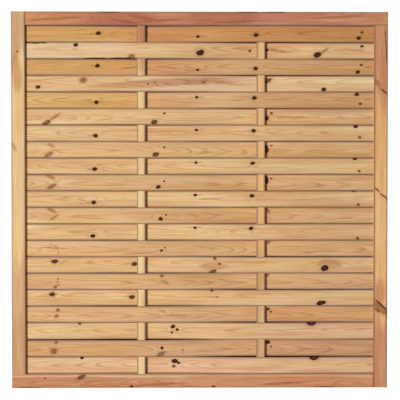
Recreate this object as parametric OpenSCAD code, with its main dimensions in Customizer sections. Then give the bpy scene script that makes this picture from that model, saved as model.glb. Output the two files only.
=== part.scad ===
// Slatted fence panel: a square timber frame with thin horizontal slats woven in and out of two
// upright battens. Odd slats, counted from the top, pass behind the left batten and in front of
// the right one, and even slats the other way about.
// Millimetres, +Z up, front towards -Y. The origin is the centre of the left stile's outer face.

/* [Panel] */
// Overall width of the panel
panel_w = 1800; // [1200:10:2400]
// Overall height of the panel
panel_h = 1800; // [900:10:2100]

/* [Frame] */
// Width of the frame members' face
frame_face = 65; // [45:1:90]
// Depth of the frame, front to back
frame_depth = 45; // [45:1:70]
// Radius on the long edges of the frame members
frame_edge_r = 2.5; // [1:0.5:6]

/* [Slats] */
// Width of a slat, top edge to bottom edge
slat_w = 78.7; // [60:0.1:120]
// Thickness of a slat
slat_t = 9; // [6:0.5:10]
// Radius on the long edges of a slat
slat_edge_r = 4; // [1:0.5:5]
// Least gap between two slats
slat_least_gap = 0.3; // [0.2:0.1:3]
// Slats at the foot of the panel that weren't knocked up tight
loose_slats = 3; // [0:1:6]
// Most that the gap above each of those is opened
loose_gap = 3.6; // [0:0.1:6]

/* [Battens] */
// Width of an upright batten's face
batten_w = 40; // [25:1:60]
// Thickness of an upright batten
batten_t = 20; // [12:1:20]
// Radius on the long edges of a batten
batten_edge_r = 2; // [1:0.5:4]
// How much narrower the last bay, on the right, is than the other two
last_bay_less = 12; // [0:1:60]

/* [Joints] */
// Depth of the groove in a stile, which holds the slats' ends
groove_depth = 15; // [8:1:25]
// Play of a slat's end in the groove, on each face
groove_play = 0.3; // [0.1:0.1:1]
// Depth of the housing in a rail, which holds a batten's end
housing_depth = 10; // [5:1:25]
// Play of a batten's end in its housing, on each side
housing_play = 0.2; // [0.1:0.1:1]
// Clearance between a slat and the batten that it bends round
weave_play = 0.2; // [0.1:0.1:1]

/* [Hidden] */
$fn = 96;
// Flats along each bend of a slat, and round each of its edges
bend_steps = 7;
edge_steps = 2;
// The frame's opening
opening_w = panel_w - 2 * frame_face;
opening_h = panel_h - 2 * frame_face;
opening_top = opening_h / 2;

// As many slats as the opening takes. The height that is left opens the gaps above the loose
// slats first, and any more of it is spread evenly between all the slats.
slat_count = floor((opening_h - slat_least_gap) / (slat_w + slat_least_gap));
spare_h = opening_h - slat_least_gap - slat_count * (slat_w + slat_least_gap);
loose_extra = min(loose_gap, spare_h / max(1, loose_slats));
slat_gap = slat_least_gap + (spare_h - loose_slats * loose_extra) / (slat_count + 1);
slat_pitch = slat_w + slat_gap;

// Centre lines of the battens
bay_w = (opening_w - 2 * batten_w + last_bay_less) / 3;
left_batten_x = frame_face + bay_w + batten_w / 2;
right_batten_x = left_batten_x + bay_w + batten_w;

// A slat's middle plane is this far in front of or behind the battens' middle plane
weave_offset = batten_t / 2 + weave_play + slat_t / 2;

FRAME_NODES = ["left_stile", "right_stile", "top_rail", "bottom_rail", "left_batten", "right_batten"];

function slat_name(n) = str("slat_", n < 10 ? "0" : "", n);

// How many opened gaps there are above slat n, counted from the top
function loose_above(n) = max(0, n - slat_count + loose_slats);

// Height of the middle of slat n
function slat_z(n) =
    opening_top - slat_gap - slat_w / 2 - (n - 1) * slat_pitch - loose_above(n) * loose_extra;

// A flat section with rounded edges, centred on the origin
module rounded_section(x, y, radius) {
    r = min(radius, 0.49 * min(x, y));
    square([x, y - 2 * r], center = true);
    square([x - 2 * r, y], center = true);
    for (i = [-1, 1], j = [-1, 1])
        translate([i * (x / 2 - r), j * (y / 2 - r)])
            circle(r);
}

// An upright member from z_low to z_high, with its face centred on x
module upright(x, z_low, z_high, face, depth, radius) {
    translate([x, 0, z_low])
        linear_extrude(z_high - z_low)
            rounded_section(face, depth, radius);
}

// A level member from x_low to x_high, with its face centred on z
module level(z, x_low, x_high, face, depth, radius) {
    translate([x_low, 0, z])
        rotate([0, 90, 0])
            linear_extrude(x_high - x_low)
                rounded_section(face, depth, radius);
}

// The groove for the slats' ends, cut inwards from the opening's edge at x, on the side given
module slat_groove(x, side) {
    width = slat_t + 2 * groove_play;
    translate([x + side * groove_depth / 2, 0, 0])
        cube([groove_depth, width, opening_h], center = true);
}

// The housings for the battens' ends, cut inwards from the opening's edge at z
module batten_housings(z) {
    for (x = [left_batten_x, right_batten_x])
        translate([x, 0, z])
            cube([batten_w + 2 * housing_play, batten_t + 2 * housing_play, 2 * housing_depth], center = true);
}

// Each frame member runs past the next one in turn, so that one end of each shows its end grain
module left_stile() {
    color("burlywood")
        difference() {
            upright(frame_face / 2, -opening_top, panel_h / 2, frame_face, frame_depth, frame_edge_r);
            slat_groove(frame_face, -1);
        }
}

module right_stile() {
    color("burlywood")
        difference() {
            upright(panel_w - frame_face / 2, -panel_h / 2, opening_top, frame_face, frame_depth, frame_edge_r);
            slat_groove(panel_w - frame_face, 1);
        }
}

module top_rail() {
    color("peru")
        difference() {
            level(panel_h / 2 - frame_face / 2, frame_face, panel_w, frame_face, frame_depth, frame_edge_r);
            batten_housings(opening_top);
        }
}

module bottom_rail() {
    color("peru")
        difference() {
            level(frame_face / 2 - panel_h / 2, 0, panel_w - frame_face, frame_face, frame_depth, frame_edge_r);
            batten_housings(-opening_top);
        }
}

module batten(x) {
    end = opening_top + housing_depth;
    color("navajowhite")
        upright(x, -end, end, batten_w, batten_t, batten_edge_r);
}

// Outline of a flat section with rounded edges, counterclockwise
function rounded_outline(x, y, radius) =
    let (r = min(radius, 0.49 * min(x, y)))
    [
        for (quarter = [0 : 3])
            let (i = sign(cos(90 * quarter + 45)), j = sign(sin(90 * quarter + 45)))
            for (k = [0 : edge_steps])
                let (angle = 90 * (quarter + k / edge_steps))
                [i * (x / 2 - r) + r * cos(angle), j * (y / 2 - r) + r * sin(angle)]
    ];

// The curve of a thin board that is bent from one level point to the next, as points without the last
function bend(from, to) = [
    for (k = [0 : bend_steps - 1])
        let (t = k / bend_steps)
        [from[0] + t * (to[0] - from[0]), from[1] + t * t * (3 - 2 * t) * (to[1] - from[1])]
];

// A slat's middle plane seen from above, from end to end. It lies flat on each batten, on the
// back of the left one where side is 1, and on the front where side is -1.
function slat_path(side) =
    let (
        out = side * weave_offset,
        left = left_batten_x,
        right = right_batten_x,
        half = batten_w / 2
    )
    concat(
        [[frame_face - groove_depth, 0]],
        bend([frame_face, 0], [left - half, out]),
        bend([left + half, out], [right - half, -out]),
        bend([right + half, -out], [panel_w - frame_face, 0]),
        [[panel_w - frame_face, 0], [panel_w - frame_face + groove_depth, 0]]
    );

// A board that keeps its upright section along a path seen from above
module board_along(path, outline) {
    n = len(outline);
    last = len(path) - 1;
    points = [for (p = path, q = outline) [p[0], p[1] + q[0], q[1]]];
    sides = [
        for (i = [0 : last - 1], k = [0 : n - 1])
            let (next = (k + 1) % n)
            [i * n + k, (i + 1) * n + k, (i + 1) * n + next, i * n + next]
    ];
    ends = [
        [for (k = [0 : n - 1]) k],
        [for (k = [n - 1 : -1 : 0]) last * n + k]
    ];
    polyhedron(points, concat(sides, ends));
}

module slat(n) {
    odd = n % 2 == 1;
    color(odd ? "wheat" : "tan")
        translate([0, 0, slat_z(n)])
            board_along(slat_path(odd ? 1 : -1), rounded_outline(slat_t, slat_w, slat_edge_r));
}

left_stile();
right_stile();
top_rail();
bottom_rail();
batten(left_batten_x);  // left_batten
batten(right_batten_x);  // right_batten
for (n = [1 : slat_count])
    slat(n);
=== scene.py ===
# %% [markdown]
# # A slatted fence panel
# Thin pine boards are woven in and out of two upright battens and held in a planed timber frame.
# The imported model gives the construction: this file dresses it. The frame and the battens keep
# their solids and get a finish. The slats are made again as smooth bent boards, because the
# solids bend in flats. One pine finish, with other knots and tones, serves every piece.

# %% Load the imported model
import math
import random

import bmesh
import bpy
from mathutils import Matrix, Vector


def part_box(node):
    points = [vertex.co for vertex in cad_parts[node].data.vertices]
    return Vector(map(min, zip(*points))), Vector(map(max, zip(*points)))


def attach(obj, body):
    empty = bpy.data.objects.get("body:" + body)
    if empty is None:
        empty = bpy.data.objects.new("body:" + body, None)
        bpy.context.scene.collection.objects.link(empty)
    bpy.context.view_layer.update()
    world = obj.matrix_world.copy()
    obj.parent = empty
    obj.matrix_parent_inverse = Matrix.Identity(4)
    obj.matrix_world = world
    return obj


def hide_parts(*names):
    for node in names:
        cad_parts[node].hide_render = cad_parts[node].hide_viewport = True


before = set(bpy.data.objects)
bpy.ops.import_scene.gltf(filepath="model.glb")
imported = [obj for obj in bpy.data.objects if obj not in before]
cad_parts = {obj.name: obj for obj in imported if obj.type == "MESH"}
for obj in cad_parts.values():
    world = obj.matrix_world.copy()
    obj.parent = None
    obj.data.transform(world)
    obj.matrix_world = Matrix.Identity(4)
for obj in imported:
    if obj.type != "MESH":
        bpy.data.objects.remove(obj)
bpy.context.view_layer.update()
MM = 0.001


# %% [markdown]
# ## Sizes
# Sizes come from the solids' boxes, so that the boards follow the model. The stiles give the
# opening, the battens give where a board bends, and a slat's box gives how far it swings.

# %% Read the sizes that the boards need
def low_high(node, axis):
    """The lowest and highest place of a CAD node along an axis, in metres."""
    low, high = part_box(node)
    return low[axis], high[axis]


PANEL_LEFT, OPENING_LEFT = low_high("left_stile", 0)
OPENING_RIGHT, PANEL_RIGHT = low_high("right_stile", 0)
OPENING_BOTTOM, OPENING_TOP = low_high("bottom_rail", 2)[1], low_high("top_rail", 2)[0]
BATTENS = [low_high(name, 0) for name in ("left_batten", "right_batten")]
SLATS = sorted(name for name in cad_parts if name.startswith("slat_"))
SLAT_THICKNESS = 9 * MM
WEAVE = low_high(SLATS[0], 1)[1] - SLAT_THICKNESS / 2
print("slats:", len(SLATS), "weave each way:", round(WEAVE / MM, 1), "mm")


# %% [markdown]
# ## Small helpers
# Colours are written as sRGB hex, as a paint chart gives them, and turned to the linear values
# that Blender mixes light in. One function adds a node, sets it up and links it.

# %% Colours and nodes
def linear(hex_colour):
    """A linear RGBA colour from an sRGB hex value such as #d9a86c."""
    channels = [int(hex_colour[i : i + 2], 16) / 255 for i in (1, 3, 5)]
    return [c / 12.92 if c <= 0.04045 else ((c + 0.055) / 1.055) ** 2.4 for c in channels] + [1.0]


def add(tree, kind, inputs=None, **settings):
    """Adds a shader node, sets its properties, and fills or links its inputs.

    Inputs are given by name, or by number where a node has several inputs of one name.
    """
    new = tree.nodes.new(kind)
    for name, value in settings.items():
        setattr(new, name, value)
    for key, value in (inputs or {}).items():
        if isinstance(value, bpy.types.Node):
            value = value.outputs[0]
        if isinstance(value, bpy.types.NodeSocket):
            tree.links.new(value, new.inputs[key])
        else:
            new.inputs[key].default_value = value
    return new


def new_group(name, inputs, outputs):
    """An empty node group, and the sockets that come into it and go out of it."""
    group = bpy.data.node_groups.new(name, "ShaderNodeTree")
    for way, sockets in (("INPUT", inputs), ("OUTPUT", outputs)):
        for socket, kind in sockets.items():
            group.interface.new_socket(socket, in_out=way, socket_type="NodeSocket" + kind)
    given = group.nodes.new("NodeGroupInput").outputs
    out = group.nodes.new("NodeGroupOutput").inputs
    return group, given, out


print("honey #dec193 in linear light:", [round(channel, 3) for channel in linear("#dec193")])


# %% [markdown]
# ## The camera
# The photograph looks almost straight at the panel through a long lens, from a little left of
# its middle and a little above it. Where it stood was worked out from the panel's four corners
# in the photograph. A long lens from far off keeps the panel's edges nearly parallel.

# %% Camera
scene = bpy.context.scene
# Where the camera stands and the point that it looks at, in metres.
EYE = Vector((0.842, -5.338, 0.108))
AIM = Vector((0.901, 0.0, 0.001))
camera_data = bpy.data.cameras.new("long_lens")
camera_data.lens = 100
camera_data.sensor_width = 36
camera = bpy.data.objects.new("camera", camera_data)
scene.collection.objects.link(camera)
camera.location = EYE
camera.rotation_euler = (AIM - EYE).to_track_quat("-Z", "Y").to_euler()
scene.camera = camera
print("the camera is", round((AIM - EYE).length, 2), "m from the panel")

# %% [markdown]
# ## Bending a slat
# A slat is a straight board that springs round two battens. Its middle plane is level in each
# stile, lies flat against one side of a batten, and swings over to the other side of the next.
# A thin board held like that bends along a cubic, so 3t^2 - 2t^3 joins the level stretches.
# The mesh is swept along that curve in short steps. Each point also keeps its place on the board
# as it was sawn, so that the grain follows the bend as it does on a real board.

# %% The path and the section of a slat
# How far a slat's end reaches into the groove of a stile.
TAIL = 14 * MM
EDGE_RADIUS = 4 * MM
# Steps round a quarter of the edge, and steps along a board.
EDGE_STEPS = 5
BOARD_STEPS = 170


def depth_at(x, side):
    """How far back a slat's middle plane is at x. Side is 1 where it passes behind the left batten."""
    (left_a, left_b), (right_a, right_b) = BATTENS
    out = side * WEAVE
    held = [(OPENING_LEFT, 0), (left_a, out), (left_b, out)]
    held += [(right_a, -out), (right_b, -out), (OPENING_RIGHT, 0)]
    for (xa, ya), (xb, yb) in zip(held, held[1:]):
        if xa < x < xb:
            t = (x - xa) / (xb - xa)
            return ya + (3 * t * t - 2 * t**3) * (yb - ya)
    return 0.0


def board_section(height, thickness, radius):
    """Corners of a board's section with rounded edges, as (depth, across), all the way round."""
    turns = [math.pi / 2 * k / EDGE_STEPS for k in range(EDGE_STEPS + 1)]
    deep, high = thickness / 2 - radius, height / 2 - radius
    top = [(deep + radius * math.sin(turn), high + radius * math.cos(turn)) for turn in turns]
    # A corner just below the rounding keeps the face's shading flat.
    shoulder = high - 1.5 * MM
    half = top + [(thickness / 2, shoulder), (thickness / 2, -shoulder)]
    half += [(d, -h) for d, h in reversed(top)]
    return half + [(-d, h) for d, h in reversed(half)]


print("a slat starts at x =", round((OPENING_LEFT - TAIL) / MM, 1), "mm")
print("it is furthest back at", round(max(depth_at(x * MM, 1) for x in range(1800)) / MM, 1), "mm")


# %% The mesh of a slat
# Sawn boards aren't all the same width. How much fuller the top edge of a slat is, in millimetres,
# at its left end, its middle and its right end. The gaps that this leaves open show the painted-shade
# card behind.
EDGE_LIFTS = {
    2: (0, 0, -1.2),
    3: (-0.8, 0, -1.4),
    4: (0, 0, -1.5),
    15: (0, -0.5, -2),
    17: (0, 0, -1.5),
    19: (3, 3, 3),
    20: (0.5, 2.4, 3.4),
    21: (3.2, 2, 0.8),
}
# How far an edge strays from straight, each way.
SAW_WOBBLE = 0.2 * MM


def slat_mesh(name, row):
    """A slat as a smooth mesh, which keeps each point's place on the sawn board as 'sawn'."""
    low, high = low_high(name, 2)
    middle, side = (low + high) / 2, (1 if row % 2 else -1)
    section = board_section(high - low, SLAT_THICKNESS, EDGE_RADIUS)
    saw = random.Random(row)
    # Two sine waves for each edge: how many radians to the metre, and where each one starts.
    ranges = ((3, 5), (0, 6), (9, 14), (0, 6))
    waves = [[saw.uniform(*ends) for ends in ranges] for _ in range(2)]
    fuller = EDGE_LIFTS.get(row, (0, 0, 0))
    start, end = OPENING_LEFT - TAIL, OPENING_RIGHT + TAIL
    mesh = bmesh.new()
    sawn = mesh.verts.layers.float_vector.new("sawn")
    rings = []
    for i in range(BOARD_STEPS + 1):
        x = start + (end - start) * i / BOARD_STEPS
        depth = depth_at(x, side)
        edges = [SAW_WOBBLE * math.sin(a * x + b) * math.sin(c * x + d) for a, b, c, d in waves]
        half, share = divmod(2 * i / BOARD_STEPS, 1) if i < BOARD_STEPS else (1, 1)
        edges[1] += MM * (fuller[int(half)] * (1 - share) + fuller[int(half) + 1] * share)
        ring = [mesh.verts.new((x, depth + d, middle + h + edges[h > 0])) for d, h in section]
        for vertex, (d, h) in zip(ring, section):
            vertex[sawn] = (x, d, h)
        rings.append(ring)
    for a, b in zip(rings, rings[1:]):
        for k in range(len(section)):
            mesh.faces.new((a[k - 1], a[k], b[k], b[k - 1])).smooth = True
    mesh.faces.new(rings[0])
    mesh.faces.new(rings[-1])
    bmesh.ops.recalc_face_normals(mesh, faces=mesh.faces)
    data = bpy.data.meshes.new(name + "_board")
    mesh.to_mesh(data)
    mesh.free()
    return data


print("slats with an uneven top edge:", sorted(EDGE_LIFTS))


# %% Sweep every slat
boards = {}
for row, name in enumerate(SLATS, start=1):
    board = bpy.data.objects.new(name + "_board", slat_mesh(name, row))
    scene.collection.objects.link(board)
    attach(board, "root")
    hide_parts(name)
    boards[name] = board
print("slats swept:", len(boards), "of", len(board.data.polygons), "faces each")

# %% [markdown]
# ## Pine
# The boards are Scots pine, sawn, planed and dipped in a clear honey-coloured preservative. What
# the eye reads as pine is one thing seen three ways. Each year's ring is pale where it grew fast
# and ends in a thin darker line of latewood. On a board's face the rings are long stripes and
# nested points, on its end they are arcs, and round a branch they bend aside and close.
# A picture of wood would be one way to make it. Here the finish measures how far each point is
# from the log's heart and draws a ring every few millimetres, so face, edge and end agree.
# A knot only pushes that distance up around itself, and the rings then flow round it.

# %% Tones of the wood, from sapwood to heartwood
TONES = {
    "cream": linear("#ead9b8"),
    "straw": linear("#e6cd9e"),
    "honey": linear("#dec193"),
    "amber": linear("#d8b585"),
    "orange": linear("#d2a470"),
    "tan": linear("#d2a67a"),
    "rust": linear("#c99a74"),
    "clay": linear("#d0ae8a"),
    "dun": linear("#d2b893"),
    "corn": linear("#ebd6a4"),
    "russet": linear("#d4a580"),
    "rose": linear("#c78f73"),
    "butter": linear("#f3e6b2"),
    "gold": linear("#f2d198"),
    "marigold": linear("#d9b577"),
    "wheat": linear("#e0c486"),
    "ivory": linear("#ebd8ab"),
    "shell": linear("#e8ceab"),
    "sand": linear("#dabb8f"),
    "oat": linear("#dbc095"),
}
LATEWOOD = linear("#dfc9ae")
HEARTWOOD = linear("#f2d3c4")
ROSY = linear("#f3e5e8")
SUNNY = linear("#fbf3dc")
FIBRE = linear("#ebe0d4")
# The arrises go over to this mauve brown: partly wear, partly painted shade in the seams between
# boards.
EDGE_WEAR_AND_SHADE = linear("#83675a")
END_GRAIN = linear("#e0cdb8")
STAIN = linear("#dfc9be")
KNOT_WOOD = linear("#6b3c20")
KNOT_BARK = linear("#170903")
print("tones of pine:", len(TONES))


# %% How wide a ring is, and how a knot bends it
# A pine ring is 2 to 5 mm wide. Here it is a middling 3.5 mm.
RING = 3.5 * MM
# At its middle a knot pushes the rings out by this many of them.
KNOT_PUSH = 1.8
# The larger this is, the further from a knot the rings still bend.
KNOT_SPREAD = 2.5


def make_knot():
    """A knot at Place on the board: it adds to how far the rings are pushed, and to two masks."""
    chain = {"Push": "Float", "Core": "Float", "Stain": "Float"}
    inputs = {"Board": "Vector", "Place": "Vector", "Tilt": "Vector", "Size": "Vector"}
    inputs |= {"Dark": "Float", "Stained": "Float"} | chain
    group, given, out = new_group("knot", inputs, chain)
    local = {"Vector": given["Board"], "Location": given["Place"]}
    local |= {"Rotation": given["Tilt"], "Scale": given["Size"]}
    local = add(group, "ShaderNodeMapping", local, vector_type="TEXTURE")
    reach = add(group, "ShaderNodeVectorMath", {0: local}, operation="LENGTH").outputs["Value"]
    near = {0: reach, 1: reach, 2: KNOT_SPREAD}
    near = add(group, "ShaderNodeMath", near, operation="MULTIPLY_ADD")
    near = add(group, "ShaderNodeMath", {0: KNOT_SPREAD, 1: near}, operation="DIVIDE")
    near = add(group, "ShaderNodeMath", {0: near, 1: 1.5}, operation="POWER")
    pushed = {0: near, 1: KNOT_PUSH * RING, 2: given["Push"]}
    pushed = add(group, "ShaderNodeMath", pushed, operation="MULTIPLY_ADD")
    # Reach is 1 at the knot's edge. The wood is dark inside it, darkest along its rim.
    core = {"Value": reach, "From Min": 1.1, "From Max": 0.85, "To Max": given["Dark"]}
    core = add(group, "ShaderNodeMapRange", core, interpolation_type="SMOOTHSTEP")
    rim = {"Value": reach, "From Min": 0.3, "From Max": 0.85, "To Min": 0.8, "To Max": 1.0}
    rim = add(group, "ShaderNodeMapRange", rim)
    core = add(group, "ShaderNodeMath", {0: core, 1: rim}, operation="MULTIPLY")
    stain = {"Value": reach, "From Min": 2.0, "From Max": 0.9, "To Max": given["Stained"]}
    stain = add(group, "ShaderNodeMapRange", stain, interpolation_type="SMOOTHSTEP")
    core = add(group, "ShaderNodeMath", {0: core, 1: given["Core"]}, operation="MAXIMUM")
    stain = add(group, "ShaderNodeMath", {0: stain, 1: given["Stain"]}, operation="MAXIMUM")
    for name, node in (("Push", pushed), ("Core", core), ("Stain", stain)):
        group.links.new(node.outputs[0], out[name])
    return group


KNOT = make_knot()
print("knot group:", len(KNOT.nodes), "nodes for each knot")


# %% Kinds of knot
# Knots and marks by kind: length and height in millimetres, how far they lean in degrees, how
# dark they are, and how strongly resin stains the wood round them.
KNOT_KINDS = {
    "dot": (8, 8, 0, 0.8, 0.1),
    "pin": (11, 9, 0, 0.9, 0.1),
    "brown": (15, 12, 0, 0.8, 0.4),
    "small": (17, 13, 0, 1.0, 0.2),
    "round": (23, 18, 10, 1.0, 0.4),
    "black": (30, 22, 0, 1.0, 0.4),
    "large": (38, 27, 20, 1.0, 0.7),
    "leaf": (46, 22, 12, 1.0, 0.4),
    "burl": (24, 40, 12, 0.95, 0.6),
    "moon": (48, 34, 0, 0.9, 0.6),
    "rusty": (27, 19, 5, 0.9, 1.0),
    "faint": (46, 9, 35, 0.36, 0.7),
    "smudge": (17, 13, 20, 0.6, 0.6),
    "ghost": (34, 14, -25, 0.2, 0.6),
    "soft": (30, 25, 20, 0.55, 0.9),
    "grey": (32, 20, 14, 0.84, 0.4),
    "high": (42, 14, -25, 0.36, 0.7),
    "low": (42, 18, 27, 0.52, 0.7),
    "wedge": (42, 18, 25, 0.75, 0.8),
    "ray": (52, 11, 33, 0.3, 0.9),
    "branch": (48, 8, -55, 0.7, 0.9),
    "twig": (28, 9, -48, 0.64, 0.8),
    "nick": (18, 8, 0, 0.85, 0.2),
    "graze": (32, 16, -40, 0.2, 0.7),
    "scar": (76, 9, -46, 0.85, 1.0),
    "limb": (72, 32, -46, 0.42, 1.0),
    "tail": (62, 3, 0, 0.55, 0.3),
    "lick": (160, 9, 3, 0, 1.0),
    "arc": (110, 12, -9, 0, 1.0),
    "blotch": (90, 30, 0, 0, 0.8),
    "shade": (210, 90, 0, 0, 0.45),
    "flame": (440, 26, 3, 0, 1.0),
    "joint": (8, 90, 0, 0.6, 0),
}
# Splits and bits of bark are only in the front face, as deep as this. The others go right through.
FACE_DEPTH = 3 * MM
FACE_KINDS = {
    "check": (130, 3, -2, 0.65, 0),
    "fork": (48, 3, -24, 0.65, 0),
    "split": (4, 38, 8, 0.55, 0),
    "crack": (190, 4, -3, 0.85, 0),
    "bark": (120, 8, 0, 0.9, 0),
    "edge": (460, 5, 0, 0.75, 0),
}
print("kinds of knot:", len(KNOT_KINDS), "and of marks in the face:", len(FACE_KINDS))


# %% The rings of the tree
# How far the log's heart strays from straight, and how uneven its rings are, each way.
SWAY = 22 * MM
UNEVEN = 2 * MM


def make_rings():
    """From a place on the board: which part of a year's ring it is in, as Late from 0 to 1."""
    inputs = {"Board": "Vector", "Seeded": "Vector", "Heart": "Vector", "Push": "Float"}
    group, given, out = new_group("rings", inputs, {"Late": "Float"})
    # The heart isn't straight: it sways slowly, which makes the nested points on a board's face.
    slow = {0: given["Seeded"], 1: (1.2, 2, 2)}
    slow = add(group, "ShaderNodeVectorMath", slow, operation="MULTIPLY")
    slow = add(group, "ShaderNodeTexNoise", {"Vector": slow, "Scale": 1.0, "Detail": 1.0})
    sway = {"Value": slow.outputs["Fac"], "To Min": -SWAY, "To Max": SWAY}
    sway = add(group, "ShaderNodeMapRange", sway)
    place = add(group, "ShaderNodeSeparateXYZ", {"Vector": given["Board"]}).outputs
    heart = add(group, "ShaderNodeSeparateXYZ", {"Vector": given["Heart"]}).outputs
    rise = {0: place["X"], 1: heart["X"], 2: sway}
    rise = add(group, "ShaderNodeMath", rise, operation="MULTIPLY_ADD")
    behind = add(group, "ShaderNodeMath", {0: heart["Y"], 1: place["Y"]}, operation="SUBTRACT")
    behind = add(group, "ShaderNodeMath", {0: behind, 1: rise}, operation="ADD")
    beside = add(group, "ShaderNodeMath", {0: place["Z"], 1: heart["Z"]}, operation="SUBTRACT")
    radius = add(group, "ShaderNodeCombineXYZ", {"X": behind, "Y": beside})
    radius = add(group, "ShaderNodeVectorMath", {0: radius}, operation="LENGTH").outputs["Value"]
    uneven = {0: given["Seeded"], 1: (9, 60, 60)}
    uneven = add(group, "ShaderNodeVectorMath", uneven, operation="MULTIPLY")
    uneven = add(group, "ShaderNodeTexNoise", {"Vector": uneven, "Scale": 1.0, "Detail": 3.0})
    uneven = {"Value": uneven.outputs["Fac"], "To Min": -UNEVEN, "To Max": UNEVEN}
    uneven = add(group, "ShaderNodeMapRange", uneven)
    radius = add(group, "ShaderNodeMath", {0: radius, 1: uneven}, operation="ADD")
    radius = add(group, "ShaderNodeMath", {0: radius, 1: given["Push"]}, operation="ADD")
    year = add(group, "ShaderNodeMath", {0: radius, 1: RING}, operation="DIVIDE")
    year = add(group, "ShaderNodeMath", {0: year}, operation="FRACT")
    # Through a year the wood goes from pale to dark, and drops back within a fifth of a ring.
    late = add(group, "ShaderNodeValToRGB", {"Fac": year})
    stops = late.color_ramp.elements
    stops[0].color = stops[1].color = (0.4, 0.4, 0.4, 1)
    for position, value in ((0.1, 0.0), (0.62, 0.08), (0.9, 1.0)):
        stops.new(position).color = (value, value, value, 1)
    group.links.new(late.outputs["Color"], out["Late"])
    return group


RINGS = make_rings()
print("ring every", RING / MM, "mm")


# %% [markdown]
# ## From rings to a surface
# The wood's tone drifts from one end of a board to the other, and broad redder streaks of
# heartwood run through it. Latewood, streaks and fibres darken that tone by multiplying it, so
# they suit every board. A knot is a hard, resinous branch end: brown inside, nearly black at
# its bark, in a rusty halo. Planed and dipped pine has a low sheen, with a roughness of about
# 0.6, a little less on latewood and knots, which are denser. The softer early wood sinks
# between the rings as the board weathers, and a bump as high as a fifth of a millimetre says so.

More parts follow.
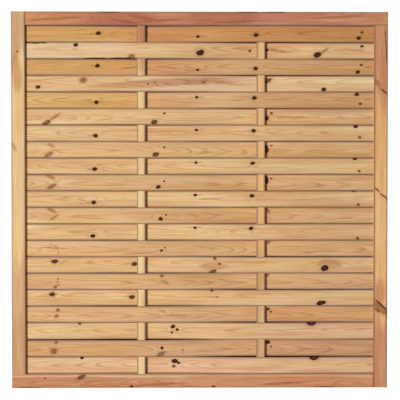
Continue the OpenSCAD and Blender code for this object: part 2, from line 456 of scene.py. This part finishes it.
# %% The colour and the relief of pine
def make_pine():
    """Colour, roughness and height from the rings, the knots and three tones along the board."""
    inputs = {"Board": "Vector", "Seeded": "Vector", "Late": "Float", "Core": "Float"}
    inputs |= {"Stain": "Float", "Start tone": "Color", "Middle tone": "Color"}
    inputs |= {"End tone": "Color", "Long": "Float", "Half": "Vector", "Figure": "Float"}
    inputs |= {"Edge wear and shade": "Float", "End": "Float", "First to": "Float", "Last from": "Float"}
    inputs |= {"Sap from": "Float"}
    outputs = {"Colour": "Color", "Rough": "Float", "Height": "Float"}
    group, given, out = new_group("pine", inputs, outputs)

    def streaks(along, across, detail, low, high):
        """Noise drawn out along the grain, with its features so many to the metre."""
        drawn = {0: given["Seeded"], 1: (along, across, across)}
        drawn = add(group, "ShaderNodeVectorMath", drawn, operation="MULTIPLY")
        drawn = add(group, "ShaderNodeTexNoise", {"Vector": drawn, "Scale": 1.0, "Detail": detail})
        drawn = {"Value": drawn.outputs["Fac"], "From Min": 0.3, "From Max": 0.7}
        return add(group, "ShaderNodeMapRange", drawn | {"To Min": low, "To Max": high})

    place = add(group, "ShaderNodeSeparateXYZ", {"Vector": given["Board"]}).outputs
    along = add(group, "ShaderNodeMath", {0: place["X"], 1: given["Long"]}, operation="DIVIDE")
    # Where one tone goes over into the next is ragged, as streaks shift the place.
    ragged = streaks(3, 20, 2, -0.08, 0.08)
    along = add(group, "ShaderNodeMath", {0: along, 1: ragged}, operation="ADD")
    colour = given["Start tone"]
    first = add(group, "ShaderNodeMath", {0: along, 1: given["First to"]}, operation="SUBTRACT")
    last = add(group, "ShaderNodeMath", {0: along, 1: given["Last from"]}, operation="SUBTRACT")
    ragged = streaks(4, 30, 2, -4 * MM, 4 * MM)
    inner = add(group, "ShaderNodeMath", {0: place["Z"], 1: ragged}, operation="ADD")
    inner = add(group, "ShaderNodeMath", {0: inner, 1: given["Sap from"]}, operation="SUBTRACT")
    for tone, where, start, end in (
        (given["Middle tone"], first, -0.06, 0.06),
        (given["End tone"], last, -0.04, 0.04),
        (TONES["straw"], inner, -5 * MM, 6 * MM),
    ):
        share = {"Value": where, "From Min": start, "From Max": end}
        share = add(group, "ShaderNodeMapRange", share, interpolation_type="SMOOTHSTEP")
        colour = {0: share, 6: colour, 7: tone}
        colour = add(group, "ShaderNodeMix", colour, data_type="RGBA").outputs[2]
    late = {0: given["Late"], 1: streaks(5, 35, 1, 0.25, 1.0)}
    late = add(group, "ShaderNodeMath", late, operation="MULTIPLY")
    late = add(group, "ShaderNodeMath", {0: late, 1: given["Figure"]}, operation="MULTIPLY")
    # Only the arrises darken: where a point is near a face and near an edge of it too. This is partly
    # wear and partly painted shade in the seams between boards and beside the battens.
    inset = add(group, "ShaderNodeVectorMath", {0: given["Board"]}, operation="ABSOLUTE")
    inset = add(group, "ShaderNodeVectorMath", {0: inset, 1: given["Half"]}, operation="SUBTRACT")
    inset = add(group, "ShaderNodeSeparateXYZ", {"Vector": inset}).outputs
    inset = add(group, "ShaderNodeMath", {0: inset["Y"], 1: inset["Z"]}, operation="MINIMUM")
    edge = {"Value": inset, "From Min": -9.5 * MM, "From Max": -1 * MM, "To Max": given["Edge wear and shade"]}
    edge = add(group, "ShaderNodeMapRange", edge, interpolation_type="SMOOTHSTEP")
    for share, tint in (
        (late, LATEWOOD),
        (streaks(2.2, 28, 2, 0.0, 0.6), HEARTWOOD),
        (streaks(1.6, 45, 1, 0.0, 0.8), ROSY),
        (streaks(1.3, 38, 1, 0.0, 0.8), SUNNY),
        # Fibres are far finer than a millimetre. They are drawn as streaks of 4 mm so that they show.
        (streaks(7, 240, 2, 0.0, 0.9), FIBRE),
        (given["End"], END_GRAIN),
        (given["Stain"], STAIN),
    ):
        blend = {0: share, 6: colour, 7: tint}
        colour = add(group, "ShaderNodeMix", blend, data_type="RGBA", blend_type="MULTIPLY").outputs[2]
    # Mixing the arrises to the mauve brown is partly wear and partly painted shade between boards.
    colour = {0: edge, 6: colour, 7: EDGE_WEAR_AND_SHADE}
    colour = add(group, "ShaderNodeMix", colour, data_type="RGBA").outputs[2]
    bark = {"Value": given["Core"], "From Min": 0.35, "From Max": 1.0}
    bark = {0: add(group, "ShaderNodeMapRange", bark), 6: KNOT_WOOD, 7: KNOT_BARK}
    bark = add(group, "ShaderNodeMix", bark, data_type="RGBA").outputs[2]
    knotty = add(group, "ShaderNodeMapRange", {"Value": given["Core"], "From Max": 0.8})
    colour = {0: knotty, 6: colour, 7: bark}
    colour = add(group, "ShaderNodeMix", colour, data_type="RGBA").outputs[2]
    rough = add(group, "ShaderNodeMapRange", {"Value": late, "To Min": 0.68, "To Max": 0.55})
    height = {0: streaks(14, 330, 2, 0.0, 0.5), 1: late}
    height = add(group, "ShaderNodeMath", height, operation="ADD")
    group.links.new(colour, out["Colour"])
    group.links.new(rough.outputs[0], out["Rough"])
    group.links.new(height.outputs[0], out["Height"])
    return group


PINE = make_pine()
print("pine group:", len(PINE.nodes), "nodes for each board")


# %% A finish for one board
# A knot's outline is wavy: it is pushed along and across by up to half of this.
WAVY = (9 * MM, 0, 7 * MM)
# A knot that goes right through is as good as endless in depth, in metres.
ENDLESS = 1000


def pine_finish(
    name,
    board_place,
    tones,
    knots,
    heart,
    long=1800,
    wide=79,
    thick=9,
    figure=1.0,
    edge_wear_and_shade=0.8,
    first_to=0.33,
    last_from=0.65,
    sap_from=500,
    end=None,
    seed=0,
):
    """Pine for one board. Sizes are in millimetres.

    board_place gives the socket with (along, depth, across) for a material. knots are (along,
    across, kind). heart is how the log's heart slopes, how far behind the face it is, and how far
    above the board's middle. The first tone ends at first_to of the board's length, and the last
    begins at last_from. sap_from is how far above the board's middle pale sapwood begins. figure
    is how strongly the latewood shows, and the next argument how strongly the arrises darken, partly
    as wear and partly as painted shade between boards. end finds end grain.
    """
    material = bpy.data.materials.new(name)
    material.use_nodes = True
    tree = material.node_tree
    tree.nodes.clear()
    board = board_place(tree)
    dice = random.Random(seed)
    shift = tuple(dice.uniform(-40, 40) for _ in range(3))
    seeded = add(tree, "ShaderNodeVectorMath", {0: board, 1: shift}, operation="ADD")
    wavy = add(tree, "ShaderNodeVectorMath", {0: seeded, 1: (60, 90, 90)}, operation="MULTIPLY")
    wavy = add(tree, "ShaderNodeTexNoise", {"Vector": wavy, "Scale": 1.0, "Detail": 2.0})
    wavy = {0: wavy.outputs["Color"], 1: (0.5, 0.5, 0.5)}
    wavy = add(tree, "ShaderNodeVectorMath", wavy, operation="SUBTRACT")
    wavy = {0: wavy, 1: WAVY, 2: board}
    wavy = add(tree, "ShaderNodeVectorMath", wavy, operation="MULTIPLY_ADD")
    found = {"Push": 0.0, "Core": 0.0, "Stain": 0.0}
    for along, across, kind in knots:
        length, height, lean, dark, stained = (KNOT_KINDS | FACE_KINDS)[kind]
        deep = FACE_DEPTH if kind in FACE_KINDS else ENDLESS
        knot = {
            "Board": wavy,
            "Place": (along * MM, -thick * MM / 2, across * MM),
            "Tilt": (0, math.radians(-lean), 0),
            "Size": (length * MM / 2, deep, height * MM / 2),
            "Dark": dark,
            "Stained": stained,
        }
        knot = add(tree, "ShaderNodeGroup", knot | found, node_tree=KNOT).outputs
        found = {socket: knot[socket] for socket in found}
    lie = (heart[0], heart[1] * MM, heart[2] * MM)
    rings = {"Board": board, "Seeded": seeded, "Heart": lie, "Push": found["Push"]}
    rings = add(tree, "ShaderNodeGroup", rings, node_tree=RINGS)
    surface = {
        "Board": board,
        "Seeded": seeded,
        "Late": rings,
        "Core": found["Core"],
        "Stain": found["Stain"],
        "Start tone": TONES[tones[0]],
        "Middle tone": TONES[tones[len(tones) // 2]],
        "End tone": TONES[tones[-1]],
        "Long": long * MM,
        "Half": (0, thick * MM / 2, wide * MM / 2),
        "Figure": figure,
        "Edge wear and shade": edge_wear_and_shade,
        "End": end(tree) if end else 0.0,
        "First to": first_to,
        "Last from": last_from,
        "Sap from": sap_from * MM,
    }
    surface = add(tree, "ShaderNodeGroup", surface, node_tree=PINE).outputs
    relief = {"Height": surface["Height"], "Distance": 0.2 * MM, "Strength": 0.6}
    relief = add(tree, "ShaderNodeBump", relief)
    coat = {"Base Color": surface["Colour"], "Roughness": surface["Rough"], "Normal": relief}
    coat |= {"IOR": 1.5, "Specular IOR Level": 0.12}
    coat = add(tree, "ShaderNodeBsdfPrincipled", coat)
    add(tree, "ShaderNodeOutputMaterial", {"Surface": coat})
    return material


print("a mark in the face is", FACE_DEPTH / MM, "mm deep")

# %% [markdown]
# ## The slats' knots
# A mill slices a plank into several thin boards, so neighbours share their knots: a branch
# crosses every slice, a little further on each time. The odd slats from 1 to 13 are seven slices
# of one plank, and two of them were laid the other way up. For those the two outer slices are
# enough and the rest lie between. The even slats come from a second plank that changes more
# from slice to slice, so their knots are listed, as are those of the last, shorter planks.

# %% Knots of the first plank, slice by slice
# For each branch: along and across on the first slice, then on the last, in millimetres, and kind.
FIRST_PLANK = [
    (414, -5, 386, -18, "round"),
    (406, -5, 376, -18, "tail"),
    (891, 11, 876, 21, "small"),
    (899, 11, 876, 21, "tail"),
    (1169, 6, 1145, 18, "round"),
    (1166, 6, 1143, 18, "tail"),
    (1662, 18, 1637, 48, "round"),
    (1678, -9, 1659, -31, "brown"),
]


def first_plank_knots(slice_number):
    """The knots of one of the seven slices. The first two slices were laid the other way up."""
    t = slice_number / 6
    up = -1 if slice_number < 2 else 1
    knots = []
    for x0, y0, x1, y1, kind in FIRST_PLANK:
        knots.append((x0 + t * (x1 - x0), up * (y0 + t * (y1 - y0)), kind))
    return knots


print("marks on each slice of the first plank:", len(FIRST_PLANK))


# %% Knots of the other slats
KNOTS = {
    2: [(110, 37, "bark"), (400, -38, "bark"), (520, -38, "bark"), (307, 26, "round")]
    + [(574, -32, "soft"), (902, -10, "large"), (1140, 2, "brown"), (1120, 2, "tail")]
    + [(1222, 4, "small"), (1250, 6, "arc"), (1465, -18, "large"), (1492, -3, "ray")]
    + [(1677, 22, "small")],
    4: [(126, -17, "round"), (343, 17, "soft"), (735, 4, "flame"), (653, 0, "dot"), (686, 5, "dot")]
    + [(918, 7, "smudge"), (1226, 16, "wedge"), (1496, -26, "round")],
    6: [(166, -29, "wedge"), (205, -2, "ray"), (730, 15, "pin"), (682, -26, "grey")]
    + [(1217, -6, "black"), (1245, 19, "brown")],
    8: [(188, 20, "ghost"), (176, -24, "low"), (730, 11, "pin"), (689, -23, "grey"), (1219, 4, "burl")]
    + [(1245, 20, "pin")],
    10: [(182, 30, "high"), (190, -18, "low"), (730, 7, "pin"), (701, -21, "round"), (1219, 14, "burl")]
    + [(1245, 20, "pin")],
    12: [(188, 27, "high"), (200, -10, "faint"), (737, 4, "pin"), (713, -15, "round")]
    + [(1231, 20, "smudge"), (1222, 30, "smudge")],
    14: [(203, 3, "check"), (201, 15, "fork"), (220, -14, "split"), (716, -9, "brown"), (733, 5, "dot")]
    + [(1231, 29, "smudge")],
    15: [(203, 17, "rusty"), (203, 17, "tail"), (586, 4, "rusty"), (566, 4, "tail")]
    + [(973, 31, "brown"), (995, 4, "brown"), (960, -33, "wedge"), (965, -4, "blotch")]
    + [(1501, -15, "large"), (1522, 5, "blotch")],
    16: [(219, 13, "dot"), (218, -2, "dot"), (221, -16, "dot"), (207, -26, "smudge")]
    + [(718, 28, "smudge"), (732, -2, "ghost"), (1228, 28, "smudge")],
    17: [(191, 17, "rusty"), (191, 17, "tail"), (573, 2, "rusty"), (556, 2, "tail"), (958, 34, "brown")]
    + [(982, 4, "dot"), (966, 4, "tail"), (1484, -25, "leaf")],
    18: [(218, 20, "smudge"), (211, -10, "smudge"), (789, -7, "check"), (722, 16, "fork")]
    + [(1230, 22, "small"), (1243, 9, "pin")],
    19: [(322, 34, "brown"), (770, 19, "round"), (791, 5, "small"), (765, -9, "brown")]
    + [(1436, 41, "moon")],
    20: [(210, 29, "smudge"), (199, -12, "soft"), (717, 2, "small"), (713, -27, "low")]
    + [(817, -9, "dot"), (1228, 24, "round"), (1243, 5, "pin")],
    21: [(333, 33, "small"), (779, 18, "black"), (798, 9, "small"), (774, -6, "brown")]
    + [(1450, 41, "moon")],
}
KNOTS |= {row: first_plank_knots(k) for k, row in enumerate(range(1, 14, 2))}
print("knots on the slats:", sum(len(knots) for knots in KNOTS.values()))

# %% [markdown]
# ## The slats' tones and figure
# The top slats have been in the sun the longest and are the most orange. A slice from near the
# log's heart shows wide nested points, one from further out shows straight stripes, so each
# board says how far behind its face the heart was.

# %% Finish the slats
SLAT_TONES = {
    1: ["marigold", "orange", "orange"],
    2: ["cream", "straw", "straw"],
    3: ["marigold", "amber", "amber"],
    4: ["straw", "cream", "ivory"],
    5: ["wheat", "honey", "amber"],
    6: ["straw", "straw", "honey"],
    8: ["straw", "straw", "honey"],
    12: ["straw", "honey", "honey"],
    14: ["straw", "honey", "honey"],
    18: ["honey", "honey", "amber"],
    19: ["straw", "straw", "shell"],
    20: ["amber", "oat", "clay"],
    21: ["shell"],
}


def sawn_place(tree):
    """The place on a slat as it was sawn, before it was bent."""
    return add(tree, "ShaderNodeAttribute", attribute_name="sawn").outputs["Vector"]


# Where each plank's heart lies: its slope, how far behind the face it starts, and how high.
PLANK_HEARTS = {
    "first": (-0.02, 58, 2),
    "second": (0.02, 44, -6),
    "third": (-0.012, 52, 10),
    "last": (-0.02, 50, 2),
}


def plank_heart(row):
    """The heart for a slat, which is a slice of one of four planks."""
    plank = "first" if row % 2 else "second"
    if row in (2, 4, 15, 17):
        plank = "third"
    elif row in (19, 21):
        plank = "last"
    slope, behind, high = PLANK_HEARTS[plank]
    return slope, behind + row % 5, high


for row, name in enumerate(SLATS, start=1):
    tones = SLAT_TONES.get(row, ["straw"] if row % 2 else ["honey"])
    heart = plank_heart(row)
    finish = pine_finish("dipped_pine_" + name, sawn_place, tones, KNOTS[row], heart, seed=row)
    boards[name].data.materials.append(finish)
print("slats finished:", len(boards))

# %% [markdown]
# ## The frame and the battens
# The frame is planed from heavier sticks of the same wood. The rails are heartwood, redder and
# darker than the stiles. The right stile was cut through three branches, which left scars that
# run slanting across its face. These members are straight, so the finish reads its place from
# the object's own coordinates, turned so that the grain runs along each member.

# %% The wood of each straight member
MEMBERS = {
    "left_stile": {
        "tones": ["sand", "corn", "dun"],
        "knots": [(1544, -2, "pin"), (1090, -18, "ghost"), (1465, -12, "blotch"), (1420, -2, "blotch")]
        + [(30, 0, "shade"), (120, 0, "shade")],
        "heart": (0.01, 75, 50),
        "figure": 0.5,
        "edge_wear_and_shade": 0.6,
        "first_to": 0.28,
        "last_from": 0.87,
    },
    "right_stile": {
        "tones": ["russet", "gold", "russet"],
        "knots": [(398, 3, "scar"), (382, 2, "limb"), (372, -16, "twig"), (359, 29, "nick")]
        + [(460, 0, "blotch"), (918, 16, "branch"), (951, -18, "twig"), (905, 30, "nick")]
        + [(1420, 16, "branch"), (1462, -18, "graze"), (1408, 31, "nick"), (1645, 22, "crack")]
        + [(200, 31, "edge")],
        "heart": (0.01, 75, -45),
        "figure": 0.5,
        "edge_wear_and_shade": 1.0,
        "first_to": 0.22,
        "last_from": 0.83,
    },
    "top_rail": {
        "tones": ["tan", "rose", "russet"],
        "knots": [(0, 0, "joint"), (142, -2, "lick"), (400, 31, "bark"), (560, 4, "arc")]
        + [(470, -14, "arc"), (450, 0, "shade"), (640, -10, "lick"), (1060, 31, "bark")]
        + [(1190, 31, "bark"), (940, 0, "shade"), (1000, -16, "lick"), (1500, 8, "lick")],
        "heart": (0.03, 40, 5),
        "figure": 0.6,
        "edge_wear_and_shade": 0.6,
        "first_to": 0.16,
        "last_from": 0.85,
    },
    "bottom_rail": {
        "tones": ["rust", "russet", "russet"],
        "knots": [(332, 20, "wedge"), (572, -25, "small"), (966, -28, "small"), (159, 15, "pin")]
        + [(80, -31, "bark"), (1735, 0, "joint"), (700, -16, "lick"), (1300, -12, "lick")]
        + [(1500, -31, "bark")],
        "heart": (-0.02, 45, -12),
        "edge_wear_and_shade": 0.6,
        "sap_from": 20,
    },
    "left_batten": {
        "tones": ["butter", "butter", "rust"],
        "knots": [],
        "heart": (0.005, 90, 60),
        "figure": 0.35,
        "edge_wear_and_shade": 0.9,
        "last_from": 0.905,
    },
    "right_batten": {
        "tones": ["honey", "gold", "gold"],
        "knots": [],
        "heart": (0.005, 90, -60),
        "figure": 0.35,
        "edge_wear_and_shade": 0.9,
    },
}
print("straight members:", sorted(MEMBERS))


# %% The place on a straight member
def straight_place(node, grain):
    """A finder of the place on a straight member whose grain runs along X or Z."""
    other = "Z" if grain == "X" else "X"
    axis = "XYZ".index
    start = low_high(node, axis(grain))[0]
    centre = sum(low_high(node, axis(other))) / 2

    def place(tree):
        here = add(tree, "ShaderNodeTexCoord").outputs["Object"]
        here = add(tree, "ShaderNodeSeparateXYZ", {"Vector": here}).outputs
        turned = {"X": here[grain], "Y": here["Y"], "Z": here[other]}
        moved = {0: add(tree, "ShaderNodeCombineXYZ", turned), 1: (start, 0, centre)}
        return add(tree, "ShaderNodeVectorMath", moved, operation="SUBTRACT").outputs[0]

    return place


def end_grain(grain):
    """A finder of the faces that are sawn across the grain: 1 there, 0 elsewhere."""

    def faces(tree):
        facing = add(tree, "ShaderNodeTexCoord").outputs["Normal"]
        facing = add(tree, "ShaderNodeSeparateXYZ", {"Vector": facing}).outputs[grain]
        return add(tree, "ShaderNodeMath", {0: facing, 1: facing}, operation="MULTIPLY").outputs[0]

    return faces


def sizes_of(node):
    """How large a CAD node is along X, Y and Z, in millimetres."""
    spans = [low_high(node, axis) for axis in range(3)]
    return {axis: (high - low) / MM for axis, (low, high) in zip("XYZ", spans)}


print("the left stile measures", sizes_of("left_stile"), "mm")


# %% Finish the straight members
# The slats' seeds are their numbers, from 1 to 21, so those of the members start higher.
FIRST_SEED = 50
for seed, (node, wood) in enumerate(MEMBERS.items(), start=FIRST_SEED):
    sizes = sizes_of(node)
    # The grain runs along a member, which is by far its longest side.
    grain = max(sizes, key=sizes.get)
    place, ends = straight_place(node, grain), end_grain(grain)
    stick = {"long": sizes.pop(grain), "thick": sizes.pop("Y"), "wide": max(sizes.values())}
    finish = pine_finish("planed_pine_" + node, place, end=ends, seed=seed, **stick, **wood)
    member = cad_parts[node]
    member.data.materials.clear()
    member.data.materials.append(finish)
print("members finished:", len(MEMBERS))

# %% [markdown]
# ## The studio
# One lamp stands to the left and lights the panel at a slant, which gives each batten its thin
# shadow, and the light falls off towards the right. A second lamp does the same behind, so that
# the back can be seen too, and a weak one hangs over the top rail. The lamps are a little cool
# and the world a little warm, as on a bright day when light also comes back from the ground, so
# that the lit wood keeps its own colour and the shadows are brown rather than grey. To the camera
# the world is white. The floor is a pale sheet that keeps a faint shadow.
# Through the narrow slits beside the battens the photograph shows darkness, so a dark card hangs
# close behind the slats: it is painted shade, a sheet that stands for the shade seen through the
# slits. It shows only from the front: seen from behind it is clear, and it takes no part in the light.

# %% World
scene.view_settings.view_transform = "Standard"


def seen_share(tree):
    """1 for a ray that shows the background: from the camera, or by way of gloss or glass."""
    ray = add(tree, "ShaderNodeLightPath").outputs
    share = {0: ray["Is Camera Ray"], 1: ray["Is Glossy Ray"]}
    share = {0: add(tree, "ShaderNodeMath", share, operation="MAXIMUM"), 1: ray["Is Transmission Ray"]}
    return add(tree, "ShaderNodeMath", share, operation="MAXIMUM")


WHITE = (1, 1, 1, 1)
WARM = (1, 0.8, 0.62, 1)
world = bpy.data.worlds.new("white_studio")
world.use_nodes = True
scene.world = world
tree = world.node_tree
tree.nodes.clear()
fill = add(tree, "ShaderNodeBackground", {"Color": WARM, "Strength": 0.12})
white = add(tree, "ShaderNodeBackground", {"Color": WHITE, "Strength": 1.0})
sky = add(tree, "ShaderNodeMixShader", {0: seen_share(tree), 1: fill, 2: white})
add(tree, "ShaderNodeOutputWorld", {"Surface": sky})
print("world:", world.name, "with", len(tree.nodes), "nodes")


# %% Floor and card
def flat_sheet(name, corners):
    """A flat four-cornered sheet with an empty material of its own."""
    data = bpy.data.meshes.new(name)
    data.from_pydata(corners, [], [range(4)])
    sheet = bpy.data.objects.new(name, data)
    scene.collection.objects.link(sheet)
    material = bpy.data.materials.new(name + "_finish")
    material.use_nodes = True
    material.node_tree.nodes.clear()
    data.materials.append(material)
    return sheet, material.node_tree


FLOOR = low_high("bottom_rail", 2)[0]
MIDDLE = Vector(((PANEL_LEFT + PANEL_RIGHT) / 2, 0, 0))
# The floor reaches this far from the panel's middle, in metres, which is past its shadow.
REACH = 2.5
around = ((-REACH, -REACH), (REACH, -REACH), (REACH, REACH), (-REACH, REACH))
floor, tree = flat_sheet("floor", [(MIDDLE.x + x, y, FLOOR) for x, y in around])
paint = add(tree, "ShaderNodeBsdfDiffuse", {"Color": linear("#cad1da")})
# A glow that lights nothing lifts the lit floor to white and leaves its shadow darker.
glow = add(tree, "ShaderNodeEmission", {"Color": WHITE, "Strength": 0.72})
glow = add(tree, "ShaderNodeMixShader", {0: seen_share(tree), 2: glow})
both = add(tree, "ShaderNodeAddShader", {0: paint, 1: glow})
add(tree, "ShaderNodeOutputMaterial", {"Surface": both})

# The card is painted shade for the slits. It fills the frame's opening, a millimetre in front of the
# frame's back.
BACK = low_high("left_stile", 1)[1] - 1 * MM
left, right, bottom, top = OPENING_LEFT, OPENING_RIGHT, OPENING_BOTTOM, OPENING_TOP
corners = [(left, BACK, bottom), (right, BACK, bottom), (right, BACK, top), (left, BACK, top)]
shade_card, tree = flat_sheet("painted_shade_card", corners)
# This dark brown is painted shade, seen through the slits.
dark = add(tree, "ShaderNodeBsdfDiffuse", {"Color": linear("#2b1c12")})
clear = add(tree, "ShaderNodeBsdfTransparent")
behind = add(tree, "ShaderNodeNewGeometry").outputs["Backfacing"]
one_sided_shade = add(tree, "ShaderNodeMixShader", {0: behind, 1: dark, 2: clear})
add(tree, "ShaderNodeOutputMaterial", {"Surface": one_sided_shade})
shade_card.visible_shadow = shade_card.visible_diffuse = False
shade_card.visible_glossy = shade_card.visible_transmission = False
print(floor.name, "at", round(FLOOR, 3), "m up,", shade_card.name, "at", round(BACK, 4), "m back")


# %% Lamps
COOL = (0.95, 0.975, 1.0)


def lamp(name, turn, distance, height, size, watts):
    """A square lamp aimed at the panel's middle, turned round it from straight ahead, in degrees."""
    data = bpy.data.lights.new(name, "AREA")
    data.size, data.energy, data.color = size, watts, COOL
    light = bpy.data.objects.new(name, data)
    scene.collection.objects.link(light)
    away = math.radians(turn)
    light.location = MIDDLE + Vector((-distance * math.sin(away), -distance * math.cos(away), height))
    light.rotation_euler = (MIDDLE - light.location).to_track_quat("-Z", "Y").to_euler()
    light.visible_camera = False
    return light


# At this slant a batten that stands 20 mm proud throws a shadow of 12 mm.
SLANT = 31
lamp("key_lamp", turn=SLANT, distance=12.0, height=0.95, size=1.6, watts=1530)
lamp("back_lamp", turn=180 + SLANT, distance=9.0, height=1.5, size=1.5, watts=856)
lamp("top_lamp", turn=0, distance=0.0, height=6.0, size=2.0, watts=100)
